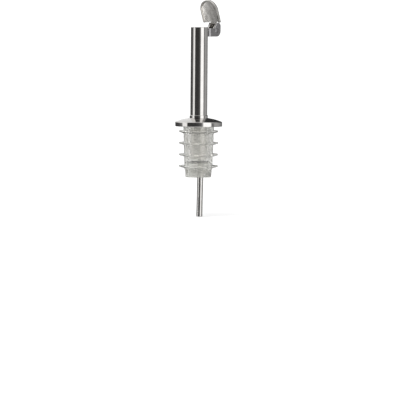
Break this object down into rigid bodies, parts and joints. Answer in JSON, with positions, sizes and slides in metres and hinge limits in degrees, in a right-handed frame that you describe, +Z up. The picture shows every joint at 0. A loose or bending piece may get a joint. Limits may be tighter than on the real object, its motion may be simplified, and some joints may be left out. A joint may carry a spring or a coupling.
{
  "type": "liquor pour spout",
  "caption": "Bottle pour spout with a straight steel tube, hinged flap lid, flange cap, finned plastic stopper and a vent tube.",
  "frame": {"origin": "on the spout tube's axis, level with the underside of the flange cap and of the stopper's head, the plane that rests on the bottle's lip", "axes": "+Z up the spout tube to its mouth; the lid's hinge stands beside the tube in the quarter between +X and +Y, 48 degrees from +X"},
  "size_m": [0.0232, 0.0232, 0.1073],
  "materials": {
    "tube_steel": "polished stainless steel",
    "cap_steel": "polished stainless steel",
    "vent_steel": "drawn stainless steel",
    "hinge_steel": "tumbled stainless steel",
    "lid_steel": "tumbled stainless steel",
    "stopper_plastic": "milky translucent polyethylene"
  },
  "bodies": {
    "spout": {"spout_tube": "tube_steel", "foot_collar": "tube_steel", "flange_cap": "cap_steel", "stopper": "stopper_plastic", "vent_tube": "vent_steel", "hinge_bracket": "hinge_steel", "hinge_pin": "hinge_steel"},
    "lid": {"lid": "lid_steel"}
  },
  "joints": [
    {"name": "lid_hinge", "type": "hinge", "parent": "spout", "child": "lid", "pos_m": [0.00656, 0.00728, 0.0475], "axis": [-0.7431, 0.6691, 0], "range_deg": [-71, 40]}
  ]
}
